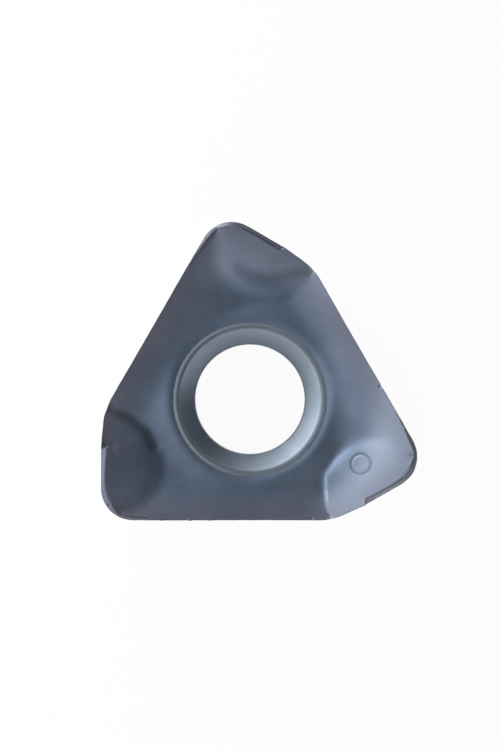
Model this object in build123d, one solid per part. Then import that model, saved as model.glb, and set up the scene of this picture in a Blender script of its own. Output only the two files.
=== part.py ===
from build123d import *
from math import asin, atan2, cos, degrees, radians, sin, sqrt, tan
import os

# Cutting outline seen along the bore, in millimetres and degrees
corner_count = 3
main_edge_distance = 4.80
wiper_distance = 5.92
nose_radius = 1.33
ramp_share = 0.444
ramp_back_off = 5.6
kink_radius = 1.9
clearance_angle = 11.0

# Heights above the seat
thickness = 4.76
kink_height = 4.00
land_height = 3.86
rim_height = 3.78

# Main cutting edges, climbing from the kink to the nose
edge_lead_angle = 3.0
edge_sweep_radius = 115.0
rake_angle_at_kink = 14.0
rake_angle_at_nose = 18.5

# Land round the screw hole
land_fall_angle = 7.0
valley_radius = 2.3

# Corner pads, drawn in the tilted plane through the nose tip: ahead is uphill to the nose
pad_slope = 17.0
pad_length = 3.3
pad_crown_radius = 15.0
pad_round_radius = 1.08
pad_round_ahead = -1.41
pad_round_aside = -0.70
pad_turn = 22.0
pad_wall_angle = 16.0
pad_wall_width = 1.2
pad_crest_radius = 2.0

# Ramp facet behind each wiper, and the wall between it and the next rake
ramp_corner_depth = 1.79
kink_wall_setback = 0.18
kink_wall_angle = 58.0

# Narrow land that falls outward along the wiper and round the nose, and runs out along the main edge
edge_land_width = 0.17
edge_land_angle = 18.0
edge_land_run = 1.6
edge_land_rise = 0.1

# Screw hole: seat for the screw's head, raised round lip above it, low wall up to the land; angles from the axis
bore_radius = 2.20
seat_radius = 2.77
rim_radius = 3.05
seat_angle_at_bore = 41.0
seat_angle_at_lip = 50.0
lip_angle_at_seat = 50.0
lip_angle_at_rim = 108.0
rim_wall_angle = 72.0
rim_wall_reach = 0.4

# Index ring pressed into one pad
ring_radius = 0.385
ring_width = 0.09
ring_depth = 0.03
ring_ahead = -2.15
ring_aside = -0.64

# Construction blocks reach past the outline by these
reach = 12.0
headroom = 0.5
edge_margin = 1.5
cut_margin = 0.4
touch = 0.001

corner_angle = 360.0 / corner_count
flank_draw = tan(radians(clearance_angle))


def polar(radius, angle):
    return Vector(radius * cos(radians(angle)), radius * sin(radians(angle)))


def turned(vector, angle):
    return vector.rotate(Axis.Z, angle)


def at_height(point, height):
    return Vector(point.X, point.Y, height)


def lines_cross(point_a, direction_a, point_b, direction_b):
    across = direction_a.X * direction_b.Y - direction_a.Y * direction_b.X
    gap = point_b - point_a
    return point_a + direction_a * ((gap.X * direction_b.Y - gap.Y * direction_b.X) / across)


def all_corners(shape):
    return [Rot(Z=step * corner_angle) * shape for step in range(corner_count)]


def block_under(plane):
    return plane * Box(2 * reach, 2 * reach, reach, align=(Align.CENTER, Align.CENTER, Align.MAX))


# The corner at the lower left is drawn: its main edge runs along X and its wiper along Y
nose_centre = Vector(nose_radius - wiper_distance, nose_radius - main_edge_distance)
nose_heading = degrees(atan2(nose_centre.Y, nose_centre.X))
nose_tip = nose_centre + polar(nose_radius, nose_heading)
nose_foot = Vector(nose_centre.X, -main_edge_distance)
nose_side = Vector(-wiper_distance, nose_centre.Y)
ramp_direction = Vector(sin(radians(ramp_back_off)), cos(radians(ramp_back_off)))
next_edge_point = turned(Vector(0, -main_edge_distance), -corner_angle)
next_edge_direction = turned(Vector(1, 0), -corner_angle)
next_edge_outward = turned(Vector(0, -1), -corner_angle)
side_end = lines_cross(nose_side, Vector(0, 1), next_edge_point, next_edge_direction)
wiper_stop = side_end + (nose_side - side_end) * ramp_share
kink = lines_cross(wiper_stop, ramp_direction, next_edge_point, next_edge_direction)
edge_start = turned(kink, corner_angle)
kink_wall_foot = next_edge_direction * (kink.dot(next_edge_direction) - kink_wall_setback)

# The pad's plane climbs to the nose tip
uphill = at_height(polar(cos(radians(pad_slope)), nose_heading), sin(radians(pad_slope)))
pad_normal = at_height(polar(-sin(radians(pad_slope)), nose_heading), cos(radians(pad_slope)))
pad_plane = Plane(at_height(nose_tip, thickness), x_dir=uphill, z_dir=pad_normal)
pad_crown_rise = pad_crown_radius - sqrt(pad_crown_radius**2 - pad_length**2 / 4)
pad_crown_middle = (pad_plane.origin - uphill * (pad_length / 2)
                    + pad_normal * (pad_crown_rise - pad_crown_radius))


def main_edge_height(x):
    run = edge_start.X - x
    return kink_height + run * tan(radians(edge_lead_angle)) + run**2 / (2 * edge_sweep_radius)


def pad_height(point):
    ahead = (point - nose_tip).dot(polar(1, nose_heading))
    along = ahead / cos(radians(pad_slope))
    crown_rise = along * (along + pad_length) / (2 * pad_crown_radius)
    return thickness + ahead * tan(radians(pad_slope)) - crown_rise


def flank_line(start, start_height, end, end_height, level):
    # A flank leans inward below its cutting edge, which may climb along its length
    inward = turned((end - start).normalized(), 90)
    low_start = start + inward * ((start_height - level) * flank_draw)
    low_end = end + inward * ((end_height - level) * flank_draw)
    return low_start, (low_end - low_start).normalized()


def blank_section(level):
    main = flank_line(nose_foot, main_edge_height(nose_foot.X), edge_start, kink_height, level)
    wiper = flank_line(wiper_stop, pad_height(wiper_stop), nose_side, pad_height(nose_side), level)
    ramp = flank_line(kink, kink_height, wiper_stop, pad_height(wiper_stop), level)
    next_main = [turned(part, -corner_angle) for part in main]
    kink_point = lines_cross(*ramp, *next_main)
    nose_point = lines_cross(*main, *wiper)
    corner = [kink_point, lines_cross(*wiper, *ramp), nose_point]
    turns = [step * corner_angle for step in range(corner_count)]
    outline = make_face(Polyline([turned(point, turn) for turn in turns for point in corner], close=True))
    growth = (level - thickness) * flank_draw
    for point, radius in ((nose_point, nose_radius + growth), (kink_point, kink_radius + growth)):
        picked = [outline.vertices().sort_by_distance(turned(point, turn))[0] for turn in turns]
        outline = fillet(picked, radius)
    return Pos(Z=level) * outline


def blank():
    return loft([blank_section(0), blank_section(thickness + headroom)], ruled=True)


def rake_section(x):
    run = (edge_start.X - x) / (edge_start.X - nose_foot.X)
    fall = tan(radians(rake_angle_at_kink + (rake_angle_at_nose - rake_angle_at_kink) * run))
    height = main_edge_height(x)
    outer, inner = -main_edge_distance - edge_margin, reach / 2
    corners = [(outer, height + edge_margin * fall), (inner, height - (inner + main_edge_distance) * fall),
               (inner, -reach), (outer, -reach)]
    return make_face(Polyline([(x, y, z) for y, z in corners], close=True))


def rake_block():
    # A twisted rake face: it is steeper across the edge at the nose than at the kink
    return loft([rake_section(x) for x in (reach / 2, 0, -reach * 0.6)])


def land_block():
    fall = tan(radians(land_fall_angle))
    middle = land_height + rim_radius * fall
    profile = Polyline((0, -reach), (reach, -reach), (reach, middle - reach * fall), (0, middle), close=True)
    return Rot(Z=nose_heading + corner_angle) * revolve(Plane.XZ * make_face(profile), Axis.Z)


def pad_walls():
    # The pad's plan has two straight sides with a round between them, and low sloping walls
    inner_side = polar(1, 90 - pad_turn)
    outer_side = polar(1, -pad_turn)
    round_centre = Vector(pad_round_ahead, pad_round_aside)
    shoulder = round_centre + (inner_side - outer_side) * pad_round_radius
    far_out = outer_side * reach / 2
    far_in = inner_side * -reach / 2
    plan = make_face(Polyline(shoulder, shoulder + far_out, shoulder + far_out + far_in, shoulder + far_in,
                              close=True))
    plan = fillet(plan.vertices().sort_by_distance(shoulder)[0], pad_round_radius)
    slope = tan(radians(pad_wall_angle))
    inset = pad_round_radius / 2
    top = pad_plane.offset(pad_crown_rise + inset * slope) * offset(plan, -inset, kind=Kind.INTERSECTION)
    foot_plane = pad_plane.offset(pad_crown_rise - pad_wall_width * slope)
    foot = foot_plane * offset(plan, pad_wall_width, kind=Kind.INTERSECTION)
    return loft([top, foot], ruled=True) + extrude(foot, -reach / 2)


def pad_crown():
    # Seen from the side, the pad's top is a flat arc through the nose tip
    middle = Plane(pad_crown_middle, x_dir=uphill, z_dir=pad_plane.y_dir)
    return middle * Cylinder(pad_crown_radius, 2 * reach)


def kink_wall():
    lean = radians(kink_wall_angle)
    normal = at_height(next_edge_direction * -sin(lean), cos(lean))
    foot = at_height(kink_wall_foot, land_height)
    return block_under(Plane(foot, x_dir=next_edge_outward, z_dir=normal))


def ramp_face():
    corner = kink_wall_foot + next_edge_outward * (main_edge_distance - ramp_corner_depth)
    low = at_height(kink, kink_height)
    to_wiper = at_height(wiper_stop, pad_height(wiper_stop)) - low
    to_corner = at_height(corner, pad_height(corner)) - low
    return block_under(Plane(low, x_dir=to_wiper, z_dir=to_wiper.cross(to_corner)))


def lies_on(edge, shell):
    return Vertex(edge @ 0.5).distance_to(shell) < touch


def pad():
    walls, crown = pad_walls(), pad_crown()
    block = walls & crown
    wall_edges = [edge for edge in block.edges() if lies_on(edge, walls.shell())]
    crests = ShapeList(edge for edge in wall_edges if lies_on(edge, crown.shell()))
    round_middle = pad_plane.from_local_coords(Vector(pad_round_ahead, pad_round_aside))
    crests = crests.sort_by_distance(round_middle)[:3]
    return fillet(crests, pad_crest_radius) & ramp_face() & kink_wall()


def pressed_body():
    blocks = all_corners(rake_block()) + [land_block()]
    stock = blank()
    body = stock & (blocks[0] + blocks[1] + blocks[2] + blocks[3])
    shells = [block.shell() for block in blocks]
    valleys = [edge for edge in body.edges() if sum(lies_on(edge, shell) for shell in shells) > 1]
    body = fillet(valleys, valley_radius)
    for block in all_corners(pad()):
        body += stock & block
    return body


def edge_land_cut():
    # The section is drawn square to the wiper at its start: across is outward, up is along the bore
    middle = (wiper_stop + nose_side) / 2
    run_out = nose_foot + Vector(edge_land_run, 0)
    path = Spline(at_height(wiper_stop, pad_height(wiper_stop)), at_height(middle, pad_height(middle)),
                  at_height(nose_side, pad_height(nose_side)), at_height(nose_tip, thickness),
                  at_height(nose_foot, main_edge_height(nose_foot.X)),
                  at_height(run_out, main_edge_height(run_out.X) + edge_land_rise))
    across = (path % 0).cross(Vector(0, 0, 1))
    pad_fall = tan(radians(pad_slope)) * abs(cos(radians(nose_heading)))
    land_fall = tan(radians(edge_land_angle))
    inner, outer = -edge_land_width - cut_margin, cut_margin
    depth = -edge_land_width * pad_fall
    section = Polyline((inner, depth + cut_margin * land_fall),
                       (outer, depth - (edge_land_width + cut_margin) * land_fall),
                       (outer, headroom), (inner, headroom), close=True)
    return sweep(Plane(path @ 0, x_dir=across, z_dir=-(path % 0)) * make_face(section), path)


def swell(high_point, width, low_angle, high_angle):
    # An arc that swells toward the bore, ending at its high point
    low, high = radians(low_angle), radians(high_angle)
    radius = width / (cos(low) - cos(high))
    middle = (high_point.X + radius * cos(high), high_point.Y - radius * sin(high))
    return CenterArc(middle, radius, 180 - low_angle, low_angle - high_angle)


def screw_hole():
    lip_top = Vector(rim_radius, rim_height)
    lip = swell(lip_top, rim_radius - seat_radius, lip_angle_at_seat, lip_angle_at_rim)
    seat = swell(lip @ 0, seat_radius - bore_radius, seat_angle_at_bore, seat_angle_at_lip)
    wall_rise = rim_wall_reach / tan(radians(rim_wall_angle))
    wall_top = (rim_radius + rim_wall_reach, rim_height + wall_rise)
    sides = Polyline(lip @ 1, wall_top, (rim_radius + rim_wall_reach, thickness + headroom),
                     (0, thickness + headroom), (0, 0), (bore_radius, 0), seat @ 0)
    return revolve(Plane.XZ * make_face([seat, lip, sides]), Axis.Z)


def index_ring():
    turn = degrees(asin((ring_ahead + pad_length / 2) / pad_crown_radius))
    groove = make_face(Polyline((ring_radius - ring_width, ring_depth), (ring_radius, -ring_depth),
                                (ring_radius + ring_width, ring_depth), close=True))
    ring = revolve(Plane.XZ * groove, Axis.Z)
    crown_middle = Location(Plane(pad_crown_middle, x_dir=uphill, z_dir=pad_normal))
    place = crown_middle * Rot(Y=turn) * Pos(0, ring_aside, pad_crown_radius)
    return Rot(Z=corner_angle) * (place * ring)


insert = pressed_body() - all_corners(edge_land_cut()) - screw_hole() - index_ring()
os.makedirs("parts", exist_ok=True)
export_step(insert, "parts/insert.step")
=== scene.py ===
import bpy
from math import cos, radians, sin
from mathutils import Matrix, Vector, noise
from mathutils.kdtree import KDTree


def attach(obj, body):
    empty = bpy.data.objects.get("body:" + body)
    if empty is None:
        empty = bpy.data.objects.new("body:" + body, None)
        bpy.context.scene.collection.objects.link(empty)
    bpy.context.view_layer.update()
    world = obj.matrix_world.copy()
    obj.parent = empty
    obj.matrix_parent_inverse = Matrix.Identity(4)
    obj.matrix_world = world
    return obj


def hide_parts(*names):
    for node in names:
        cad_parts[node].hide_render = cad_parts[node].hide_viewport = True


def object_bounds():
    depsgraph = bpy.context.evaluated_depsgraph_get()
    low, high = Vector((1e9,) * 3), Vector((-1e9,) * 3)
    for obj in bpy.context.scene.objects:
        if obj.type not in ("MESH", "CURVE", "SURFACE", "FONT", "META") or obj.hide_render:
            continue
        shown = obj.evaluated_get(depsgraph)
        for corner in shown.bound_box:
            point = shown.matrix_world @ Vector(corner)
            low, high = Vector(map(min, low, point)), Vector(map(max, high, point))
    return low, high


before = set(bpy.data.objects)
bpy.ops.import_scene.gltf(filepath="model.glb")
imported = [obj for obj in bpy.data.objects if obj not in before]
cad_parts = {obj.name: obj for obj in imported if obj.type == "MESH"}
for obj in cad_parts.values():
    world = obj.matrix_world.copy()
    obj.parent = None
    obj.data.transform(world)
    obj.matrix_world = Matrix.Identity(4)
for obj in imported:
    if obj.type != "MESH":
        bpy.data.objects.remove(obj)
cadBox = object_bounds()
mm = 0.001

print("stage: frame loaded")


def deselectAll():
    for item in bpy.context.selected_objects:
        item.select_set(False)


def linkToScene(item):
    bpy.context.scene.collection.objects.link(item)


def applyModifier(piece, kind, **values):
    modifier = piece.modifiers.new(kind.lower(), kind)
    for key, value in values.items():
        setattr(modifier, key, value)
    bpy.ops.object.modifier_apply(modifier=modifier.name)


def inMetres(lengths):
    return [length * mm for length in lengths]


def ramp(value, low, high):
    share = min(max((value - low) / (high - low), 0), 1)
    return share * share * (3 - 2 * share)


def fade(value, low, high):
    return 1 - ramp(value, low, high)


def lineShare(distance, line):
    middle, width, strength = line
    return strength * fade(abs(distance / mm - middle), 0, width)


def addNode(nodes, kind, settings=None, **values):
    node = nodes.new("ShaderNode" + kind)
    for key, value in (settings or {}).items():
        setattr(node, key, value)
    for key, value in values.items():
        node.inputs[key].default_value = value
    return node


def setSockets(tree, sockets, values):
    for socket, value in zip(sockets, values):
        if isinstance(value, (int, float, tuple)):
            socket.default_value = value
        else:
            tree.links.new(value, socket)


def addMath(tree, operation, first, second, clamp=False):
    node = addNode(tree.nodes, "Math", {"operation": operation, "use_clamp": clamp})
    setSockets(tree, node.inputs, (first, second))
    return node.outputs[0]


def addMix(tree, share, first, second, blend="MIX"):
    node = addNode(tree.nodes, "Mix", {"data_type": "RGBA", "blend_type": blend})
    colorSockets = (node.inputs[0], node.inputs[6], node.inputs[7])
    setSockets(tree, colorSockets, (share, first, second))
    return node.outputs[2]


def addRange(tree, value, fromRange, toRange):
    node = addNode(tree.nodes, "MapRange")
    sockets = [node.inputs[key] for key in ("Value", "From Min", "From Max", "To Min", "To Max")]
    setSockets(tree, sockets, (value, *fromRange, *toRange))
    return node.outputs["Result"]


def addNoise(tree, place, size, detail):
    node = addNode(tree.nodes, "TexNoise", Scale=1 / (size * mm), Detail=detail)
    tree.links.new(place, node.inputs["Vector"])
    return node.outputs["Fac"]


def addMask(tree, name):
    return addNode(tree.nodes, "Attribute", {"attribute_name": name}).outputs["Fac"]


# The insert: lengths in millimetres, angles in degrees
surfaceSettings = {
    "mergeDistance": 0.0001,
    "remeshDepth": 8,
    "remeshScale": 0.99,
    "remeshSharpness": 1.0,
    "sampleStep": 0.03,
    "footAngle": 13.0,
    "topFloor": 3.0,
    "topLean": 0.35,  # upward share of the normal that parts the top from the flanks
    "rimRadius": 3.1,
    "rimGuard": 3.4,
    "ledgeGap": (0.08, 0.2),
    "borderGuard": (0.18, 0.4),
    "flankGuard": (0.1, 0.4),
    "footReach": (0.3, 0.8),
    "smoothFactor": 0.5,
    "footSteps": 110,
    "topSteps": 50,
    "flankSteps": 60,
    "crispWall": ((3.11, -4.50), (3.11, -2.95), (3.41, -2.47), (3.76, -2.19)),
    "crispReach": 0.7,
    "crispTop": 0.6,
    "triangles": 190000,
    "spareFactor": 1000,
    "sharpAngle": 50.0,
}

ringSettings = {
    "middle": (4.40, -2.56),
    "radius": 0.385,
    "width": 0.09,
    "depth": 0.014,
}

holeSettings = {
    "boreRadius": 2.2,
    "boreTop": 3.165,
    "seatRadius": 2.77,
    "rimRadius": 3.05,
    "seatMiddle": (6.0436, -0.1758),
    "seatRound": 5.0928,
    "lipMiddle": (2.9591, 3.5002),
    "lipRound": 0.2942,
    "slack": 0.025,
}

markSettings = {
    "reach": 0.15,
    "raggedWidth": 0.06,
    "raggedSize": 0.25,
    "raggedHeight": 0.010,
    # Place along x and y, radius, and height above the surface: a burr is above it, a chip below
    "marks": [
        (-3.52, -4.80, 0.10, 0.018),
        (-2.38, -4.80, 0.10, 0.030),
        (-1.60, -4.80, 0.08, 0.035),
        (-1.46, -4.80, 0.07, 0.030),
        (-0.71, -4.80, 0.09, 0.015),
        (0.10, -4.80, 0.09, 0.012),
        (5.17, 0.51, 0.10, -0.045),
        (2.45, -4.74, 0.08, -0.035),
        (-5.54, -4.17, 0.12, -0.040),
        (1.30, 5.93, 0.12, -0.030),
        (1.05, 5.80, 0.09, 0.020),
        (0.70, 6.15, 0.07, 0.015),
        (-5.72, -1.86, 0.10, -0.030),
    ],
    # The same four numbers, for soft unevenness away from the edges
    "swells": [
        (1.10, 5.95, 0.10, 0.008),
        (1.24, 5.80, 0.09, -0.008),
        (1.38, 5.69, 0.09, 0.008),
        (1.02, 5.76, 0.08, -0.006),
    ],
    # Each crease: a path along x and y, its width, a depth pressed into the surface, and the strength
    # of the painted shade that darkens it
    "creases": [
        {
            "places": ((-5.70, -0.27), (-4.60, -0.90), (-4.10, -1.30), (-3.85, -1.90)),
            "width": 0.38, "depth": 0.030, "paintedShade": 0.50,
        },
        {
            "places": ((-5.92, -1.80), (-5.50, -1.85)),
            "width": 0.30, "depth": 0.020, "paintedShade": 0.30,
        },
        {
            "places": ((-0.40, 5.25), (0.10, 4.97), (0.60, 4.84),
                       (1.05, 4.88), (1.60, 5.06), (2.15, 5.15)),
            "width": 0.42, "depth": 0.018, "paintedShade": 0.26,
        },
        {
            "places": ((-2.45, 5.40), (-1.43, 6.69)),
            "width": 0.22, "depth": 0.0, "paintedShade": 0.60,
        },
    ],
}

maskSettings = {
    "edgeReach": (0.1, 1.3),
    "padReach": (4.4, 5.6),
    "padEdge": 0.4,
    # Painted light: pads and ledge lands on this side, where they face the lamps, are painted lighter,
    # fading to none on the far side
    "paintedLightSide": 0.0,
    "paintedLightLevel": 0.6,
    "ledgeReach": (0.1, 0.2),
    "landReach": (0.08, 0.14),
    "seatReach": (2.85, 3.1),
    # Middle, width and strength of each line, measured from its edge or from the hole's axis; the lip
    # lines are painted highlights and the other lines painted shade
    "lipHighlightLines": ((3.0, 0.08, 1.0), (2.79, 0.05, 0.4)),
    # Painted shade: dark lines along the edge, the ledges, the ring mark and the rim
    "edgeShadeLine": (0.0, 0.05, 0.5),
    "ledgeShadeLine": (0.0, 0.06, 0.6),
    "ringShadeLine": (0.02, 0.08, 0.55),
    "rimShadeLine": (0.0, 0.05, 0.25),
    "rimShadeLineRadius": 2.89,
}


def copyOfSolid(name):
    piece = bpy.data.objects.new(name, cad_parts["insert"].data.copy())
    linkToScene(piece)
    deselectAll()
    piece.select_set(True)
    bpy.context.view_layer.objects.active = piece
    bpy.ops.object.mode_set(mode="EDIT")
    bpy.ops.mesh.select_all(action="SELECT")
    bpy.ops.mesh.remove_doubles(threshold=surfaceSettings["mergeDistance"] * mm)
    bpy.ops.object.mode_set(mode="OBJECT")
    return piece


def treeOf(points):
    tree = KDTree(len(points))
    for index, point in enumerate(points):
        tree.insert(point, index)
    tree.balance()
    return tree


def pointsAlong(start, end):
    count = max(int((end - start).length / (surfaceSettings["sampleStep"] * mm)), 1)
    return [start.lerp(end, index / count) for index in range(count + 1)]


def solidSeams(piece):
    # Feet are the seams on the pressed top, the border is where it turns into flanks and hole,
    # and the ledge is the part of the feet that runs along the border
    mesh, lean = piece.data, surfaceSettings["topLean"]
    normals = [polygon.normal for polygon in mesh.polygons]
    sides = {}
    for polygon in mesh.polygons:
        for key in polygon.edge_keys:
            sides.setdefault(key, []).append(polygon.index)
    feet, border = [], []
    limit = cos(radians(surfaceSettings["footAngle"]))
    for key, faces in sides.items():
        start, end = (mesh.vertices[index].co for index in key)
        one, other = (normals[index] for index in faces)
        middle = (start + end) / 2
        if middle.z < surfaceSettings["topFloor"] * mm:
            continue
        low, high = sorted((one.z, other.z))
        if low < lean < high:
            border += pointsAlong(start, end)
        elif low > lean and one.dot(other) < limit:
            if middle.xy.length > surfaceSettings["rimGuard"] * mm:
                feet += pointsAlong(start, end)
    border = treeOf(border)
    nearest, farthest = inMetres(surfaceSettings["ledgeGap"])
    ledge = [point for point in feet if nearest < border.find(point)[2] < farthest]
    return treeOf(feet), treeOf(ledge), border


def pathShare(point, places, width):
    flat, share = point.xy / mm, 0
    for start, end in zip(places, places[1:]):
        start, along = Vector(start), Vector(end) - Vector(start)
        place = min(max((flat - start).dot(along) / along.length_squared, 0), 1)
        share = max(share, fade((flat - start - along * place).length, 0, width))
    return share


def softenSeams(piece, feet, border):
    groups = {name: piece.vertex_groups.new(name=name) for name in ("top", "foot", "flank")}
    topGuard = inMetres(surfaceSettings["borderGuard"])
    flankGuard = inMetres(surfaceSettings["flankGuard"])
    footReach = inMetres(surfaceSettings["footReach"])
    lean, topFloor = surfaceSettings["topLean"], surfaceSettings["topFloor"] * mm
    for vertex in piece.data.vertices:
        point, index = vertex.co, [vertex.index]
        if point.xy.length < surfaceSettings["rimRadius"] * mm:
            continue
        away = border.find(point)[2]
        if vertex.normal.z > lean and point.z > topFloor:
            clear = ramp(away, *topGuard)
            crisp = pathShare(point, surfaceSettings["crispWall"], surfaceSettings["crispReach"])
            near = fade(feet.find(point)[2], *footReach)
            topShare = clear * (1 - surfaceSettings["crispTop"] * crisp)
            groups["top"].add(index, topShare, "REPLACE")
            groups["foot"].add(index, clear * near * (1 - crisp), "REPLACE")
        elif vertex.normal.z > -lean:
            groups["flank"].add(index, ramp(min(away, point.z), *flankGuard), "REPLACE")
    for name in groups:
        applyModifier(piece, "SMOOTH", vertex_group=name, factor=surfaceSettings["smoothFactor"],
                      iterations=surfaceSettings[name + "Steps"])


def roundHole(piece):
    # The facets of the hole, its seat and its lip move onto their true arcs
    bore, slack = holeSettings["boreRadius"] * mm, holeSettings["slack"] * mm
    for vertex in piece.data.vertices:
        radius = vertex.co.xy.length
        if radius > holeSettings["rimRadius"] * mm:
            continue
        place = Vector((radius, vertex.co.z))
        if place.y < holeSettings["boreTop"] * mm:
            target = Vector((bore, place.y))
        else:
            part = "seat" if radius < holeSettings["seatRadius"] * mm else "lip"
            middle = Vector(holeSettings[part + "Middle"]) * mm
            target = middle + (place - middle).normalized() * holeSettings[part + "Round"] * mm
        if (target - place).length < slack:
            vertex.co.x *= target.x / radius
            vertex.co.y *= target.x / radius
            vertex.co.z = target.y


def pushOut(piece, heights):
    normals = [vertex.normal.copy() for vertex in piece.data.vertices]
    for index, height in heights.items():
        piece.data.vertices[index].co += normals[index] * height * mm


def pressRing(piece):
    middle, heights = Vector(ringSettings["middle"]), {}
    for vertex in piece.data.vertices:
        toMiddle = (vertex.co.xy / mm - middle).length
        away = abs(toMiddle - ringSettings["radius"]) / ringSettings["width"]
        if away < 1 and vertex.normal.z > surfaceSettings["topLean"]:
            heights[vertex.index] = -ringSettings["depth"] * fade(away, 0, 1)
    pushOut(piece, heights)


def markTop(piece, border):
    heights = {}
    for vertex in piece.data.vertices:
        point = vertex.co
        if point.z < surfaceSettings["topFloor"] * mm:
            continue
        toEdge = border.find(point)[2] / mm
        share = fade(toEdge, 0, markSettings["raggedWidth"])
        rough = noise.noise(point / (markSettings["raggedSize"] * mm))
        height = share * markSettings["raggedHeight"] * rough
        for x, y, radius, push in markSettings["marks" if toEdge < markSettings["reach"] else "swells"]:
            height += push * fade((point.xy / mm - Vector((x, y))).length, 0, radius)
        for crease in markSettings["creases"]:
            height -= crease["depth"] * pathShare(point, crease["places"], crease["width"])
        if height:
            heights[vertex.index] = height
    pushOut(piece, heights)


def thinFlatSides(piece):
    spare = piece.vertex_groups.new(name="spare")
    topFloor = surfaceSettings["topFloor"] * mm
    spare.add([vertex.index for vertex in piece.data.vertices if vertex.co.z < topFloor], 1, "REPLACE")
    triangles = 2 * len(piece.data.polygons)
    applyModifier(piece, "DECIMATE", vertex_group="spare",
                  vertex_group_factor=surfaceSettings["spareFactor"],
                  ratio=surfaceSettings["triangles"] / triangles)


def storeMasks(piece, ledge, border):
    reaches = ("edgeReach", "padReach", "ledgeReach", "landReach", "seatReach")
    edgeReach, padReach, ledgeReach, landReach, seatReach = (
        inMetres(maskSettings[reach]) for reach in reaches)
    paintedLightAngle, paintedLightLevel = radians(maskSettings["paintedLightSide"]), maskSettings["paintedLightLevel"]
    paintedLightSide = Vector((cos(paintedLightAngle), sin(paintedLightAngle)))
    ringMiddle, ringRadius = Vector(ringSettings["middle"]) * mm, ringSettings["radius"] * mm
    rimRadius = maskSettings["rimShadeLineRadius"] * mm
    names = ("edgeShare", "padPaintedLight", "ledgePaintedLight", "seatShare", "lipHighlight", "paintedShadeLine")
    masks = {name: [] for name in names}
    for vertex in piece.data.vertices:
        point, radius = vertex.co, vertex.co.xy.length
        toEdge, toLedge = border.find(point)[2], ledge.find(point)[2]
        # Painted light: a share that is full on the side facing the lamps and fades to none on the far
        # side, used for the pads and ledge lands
        sideLight = min(paintedLightLevel + paintedLightLevel * point.xy.normalized().dot(paintedLightSide), 1)
        padLight = ramp(radius, *padReach) * max(sideLight, 0)
        masks["padPaintedLight"].append(padLight)
        # Painted light: ledge lands on the side facing the lamps are painted paler
        masks["ledgePaintedLight"].append(fade(toEdge, *landReach) * fade(toLedge, *ledgeReach) * max(sideLight, 0))
        masks["edgeShare"].append(fade(toEdge, *edgeReach) * (1 - padLight * (1 - maskSettings["padEdge"])))
        masks["seatShare"].append(fade(radius, *seatReach))
        # Painted highlights: light lines along the lip of the hole
        masks["lipHighlight"].append(max(lineShare(radius, line) for line in maskSettings["lipHighlightLines"]))
        # Painted shade: dark lines along the edges, the ledges, the creases, the ring mark and the rim
        lines = [lineShare(toEdge, maskSettings["edgeShadeLine"]) * ramp(toLedge, *ledgeReach),
                 lineShare(toLedge, maskSettings["ledgeShadeLine"])]
        if vertex.normal.z > surfaceSettings["topLean"]:
            for crease in markSettings["creases"]:
                share = pathShare(point, crease["places"], crease["width"])
                lines.append(crease["paintedShade"] * share)
            toRing = (point.xy - ringMiddle).length - ringRadius
            lines.append(lineShare(toRing, maskSettings["ringShadeLine"]))
            lines.append(lineShare(radius - rimRadius, maskSettings["rimShadeLine"]))
        masks["paintedShadeLine"].append(max(lines))
    for name, values in masks.items():
        piece.data.attributes.new(name, "FLOAT", "POINT").data.foreach_set("value", values)


coatingSettings = {
    "landColor": (0.168, 0.223, 0.313, 1.0),
    "edgeColor": (0.205, 0.217, 0.285, 1.0),
    # Painted light: pads on the side facing the lamps are painted lighter
    "padPaintedLightColor": (0.365, 0.428, 0.548, 1.0),
    # Painted light on the ledge lands that face the lamps
    "ledgePaintedLightColor": (0.43, 0.42, 0.48, 1.0),
    # Painted reflection: the seat is tinted lighter and more neutral, like the white lamps it reflects
    "seatPaintedReflectionColor": (0.235, 0.280, 0.335, 1.0),
    # Painted highlights along the lip of the hole
    "lipHighlightColor": (0.310, 0.360, 0.420, 1.0),
    # Painted shade in the dark lines
    "paintedShadeColor": (0.07, 0.07, 0.095, 1.0),
    "speckColor": (0.55, 0.62, 0.70, 1.0),
    "metallic": 0.9,
    "roughness": (0.40, 0.50),
    "seatRoughness": 0.05,
    "noiseSpan": (0.3, 0.7),
    "edgeDrift": (-0.2, 0.2),
    "mottleSize": 1.6,
    "mottleDetail": 3,
    "mottleDepth": 0.10,
    "grainSize": 0.06,
    "grainDetail": 2,
    "grainDepth": 0.05,
    "grainHeight": 0.0015,
    "speckSpacing": 1.1,
    "speckSize": 0.022,
    "speckCore": 0.4,
    "speckRarity": 0.82,
}


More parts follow.
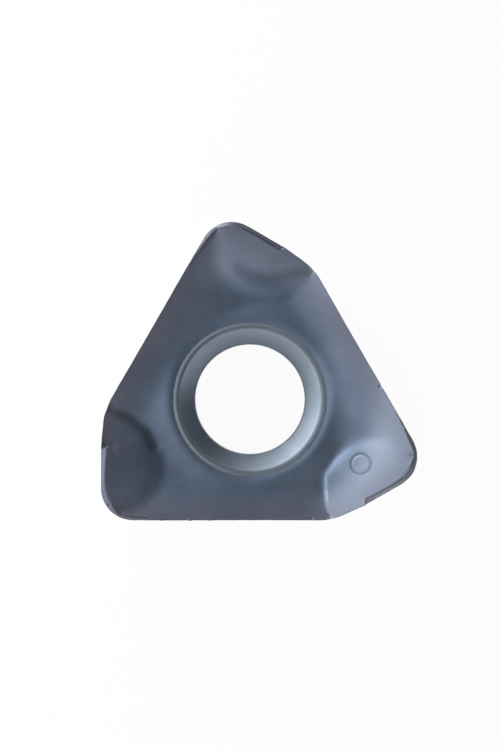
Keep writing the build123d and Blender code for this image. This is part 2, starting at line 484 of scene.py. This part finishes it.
def makeCoating():
    settings = coatingSettings
    material = bpy.data.materials.new("coatedCarbide")
    material.use_nodes = True
    tree = material.node_tree
    shader = tree.nodes["Principled BSDF"]
    place = addNode(tree.nodes, "TexCoord").outputs["Object"]

    span = settings["noiseSpan"]
    mottle = addNoise(tree, place, settings["mottleSize"], settings["mottleDetail"])
    grain = addNoise(tree, place, settings["grainSize"], settings["grainDetail"])
    drift = addRange(tree, mottle, span, settings["edgeDrift"])
    edgeShare = addMath(tree, "ADD", addMask(tree, "edgeShare"), drift, clamp=True)
    # Painted light: pads lighter on the side facing the lamps
    color = addMix(tree, addMask(tree, "padPaintedLight"), settings["landColor"], settings["padPaintedLightColor"])
    color = addMix(tree, edgeShare, color, settings["edgeColor"])
    # Painted light: paler ledge lands on the side facing the lamps
    color = addMix(tree, addMask(tree, "ledgePaintedLight"), color, settings["ledgePaintedLightColor"])
    # Painted reflection: lighter, more neutral tint in the seat
    color = addMix(tree, addMask(tree, "seatShare"), color, settings["seatPaintedReflectionColor"])
    # Painted highlights on the lip of the hole
    color = addMix(tree, addMask(tree, "lipHighlight"), color, settings["lipHighlightColor"])

    depth, fine = settings["mottleDepth"], settings["grainDepth"]
    broadShade = addRange(tree, mottle, span, (1 - depth, 1 + depth))
    fineShade = addRange(tree, grain, span, (1 - fine, 1 + fine))
    shade = addMath(tree, "MULTIPLY", broadShade, fineShade)
    shades = addNode(tree.nodes, "CombineColor")
    for socket in shades.inputs:
        tree.links.new(shade, socket)
    color = addMix(tree, 1.0, color, shades.outputs["Color"], "MULTIPLY")

    cells = addNode(tree.nodes, "TexVoronoi", Scale=1 / (settings["speckSpacing"] * mm))
    tree.links.new(place, cells.inputs["Vector"])
    pick = addNode(tree.nodes, "SeparateColor")
    tree.links.new(cells.outputs["Color"], pick.inputs["Color"])
    rare = addMath(tree, "GREATER_THAN", pick.outputs["Red"], settings["speckRarity"])
    size = settings["speckSize"] / settings["speckSpacing"]
    dotSpan = (settings["speckCore"] * size, size)
    dot = addRange(tree, cells.outputs["Distance"], dotSpan, (1.0, 0.0))
    color = addMix(tree, addMath(tree, "MULTIPLY", dot, rare), color, settings["speckColor"])
    # Painted shade: dark lines along edges, ledges, creases, the ring mark and the rim
    color = addMix(tree, addMask(tree, "paintedShadeLine"), color, settings["paintedShadeColor"])
    tree.links.new(color, shader.inputs["Base Color"])

    roughness = addRange(tree, grain, span, settings["roughness"])
    rougher = addMath(tree, "MULTIPLY", addMask(tree, "seatShare"), settings["seatRoughness"])
    tree.links.new(addMath(tree, "ADD", roughness, rougher), shader.inputs["Roughness"])
    shader.inputs["Metallic"].default_value = settings["metallic"]
    bump = addNode(tree.nodes, "Bump", Strength=1.0, Distance=settings["grainHeight"] * mm)
    tree.links.new(grain, bump.inputs["Height"])
    tree.links.new(bump.outputs["Normal"], shader.inputs["Normal"])
    return material


def makeInsert():
    piece = copyOfSolid("coatedInsert")
    feet, ledge, border = solidSeams(piece)
    applyModifier(piece, "REMESH", mode="SHARP", octree_depth=surfaceSettings["remeshDepth"],
                  scale=surfaceSettings["remeshScale"],
                  sharpness=surfaceSettings["remeshSharpness"])
    print("stage: remeshed,", len(piece.data.polygons), "faces")
    softenSeams(piece, feet, border)
    pressRing(piece)
    roundHole(piece)
    markTop(piece, border)
    thinFlatSides(piece)
    piece.vertex_groups.clear()
    storeMasks(piece, ledge, border)
    deselectAll()
    piece.select_set(True)
    bpy.ops.object.shade_smooth_by_angle(angle=radians(surfaceSettings["sharpAngle"]))
    applyModifier(piece, "WEIGHTED_NORMAL", keep_sharp=True)
    piece.data.materials.clear()
    piece.data.materials.append(makeCoating())
    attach(piece, "root")
    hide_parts("insert")
    print("stage: insert made,", len(piece.data.polygons), "faces")


floorSettings = {
    "size": 400.0,
    "color": (0.9, 0.9, 0.9, 1.0),
    "roughness": 1.0,
    "glowColor": (1.0, 1.0, 1.0, 1.0),
    "glowStrength": 1.0,
    "glowShare": 0.95,
}


def addFloor():
    deselectAll()
    bpy.ops.mesh.primitive_plane_add(size=floorSettings["size"] * mm, location=(0, 0, 0))
    floor = bpy.context.object
    floor.name = "floor"
    material = bpy.data.materials.new("paleFloor")
    material.use_nodes = True
    tree = material.node_tree
    shader = tree.nodes["Principled BSDF"]
    shader.inputs["Base Color"].default_value = floorSettings["color"]
    shader.inputs["Roughness"].default_value = floorSettings["roughness"]
    glow = addNode(tree.nodes, "Emission", Color=floorSettings["glowColor"],
                   Strength=floorSettings["glowStrength"])
    path = addNode(tree.nodes, "LightPath").outputs
    seen = addMath(tree, "MAXIMUM", path["Is Camera Ray"], path["Is Glossy Ray"])
    seen = addMath(tree, "MAXIMUM", seen, path["Is Transmission Ray"])
    share = addMath(tree, "MULTIPLY", seen, floorSettings["glowShare"])
    mix = addNode(tree.nodes, "MixShader")
    setSockets(tree, mix.inputs, (share, shader.outputs["BSDF"], glow.outputs["Emission"]))
    tree.links.new(mix.outputs["Shader"], tree.nodes["Material Output"].inputs["Surface"])
    floor.data.materials.append(material)


lightSettings = {
    "distance": 60.0,
    "size": 35.0,
    "world": 0.106,
    "worldColor": (1.0, 1.0, 1.0, 1.0),
    "milliwatt": 0.001,
    # Azimuth and elevation in degrees, power in milliwatts
    "lamps": {
        "skyBackLeft": (150, 65, 3.6),
        "skyFront": (270, 65, 1.3),
        "keyBackLeft": (120, 42, 3.0),
        "keyFrontLeft": (210, 42, 4.6),
        "fillBackLeft": (120, 25, 12.5),
        "lowBack": (90, 12, 5.5),
        "lowBackLeft": (150, 12, 22.5),
        "lowLeft": (180, 12, 10.9),
        "lowLeftFront": (210, 12, 7.0),
        "lowFrontLeft": (240, 12, 6.3),
        "lowFront": (270, 12, 7.1),
        "lowFrontRight": (300, 12, 4.9),
        "lowRight": (330, 12, 9.2),
    },
}


def addLamp(name, azimuth, elevation, power):
    azimuth, elevation = radians(azimuth), radians(elevation)
    level = cos(elevation)
    away = Vector((cos(azimuth) * level, sin(azimuth) * level, sin(elevation)))
    lamp = bpy.data.lights.new(name, "AREA")
    lamp.shape = "DISK"
    lamp.size = lightSettings["size"] * mm
    lamp.energy = power * lightSettings["milliwatt"]
    holder = bpy.data.objects.new(name, lamp)
    linkToScene(holder)
    holder.location = away * lightSettings["distance"] * mm
    holder.rotation_euler = away.to_track_quat("Z", "Y").to_euler()


def addWorld():
    world = bpy.data.worlds.new("studio")
    bpy.context.scene.world = world
    world.use_nodes = True
    background = world.node_tree.nodes["Background"]
    background.inputs["Color"].default_value = lightSettings["worldColor"]
    background.inputs["Strength"].default_value = lightSettings["world"]


cameraSettings = {
    "mmPerPixel": 0.0396,
    "imageHeight": 750,
    "centre": (0.0, 0.974),
    "distance": 260.0,
    "sensor": 36.0,
    "clip": (0.001, 10.0),
}


def addCamera():
    camera = bpy.data.cameras.new("camera")
    holder = bpy.data.objects.new("camera", camera)
    linkToScene(holder)
    height = cameraSettings["imageHeight"] * cameraSettings["mmPerPixel"]
    camera.sensor_width = cameraSettings["sensor"]
    camera.lens = cameraSettings["sensor"] * cameraSettings["distance"] / height
    camera.clip_start, camera.clip_end = cameraSettings["clip"]
    place = Vector((*cameraSettings["centre"], cameraSettings["distance"])) * mm
    holder.location = place + Vector((0, 0, cadBox[1].z))
    bpy.context.scene.camera = holder


makeInsert()
addFloor()
for name, place in lightSettings["lamps"].items():
    addLamp(name, *place)
addWorld()
addCamera()
bpy.context.scene.view_settings.view_transform = "Standard"
print("stage: floor, lights and camera placed")
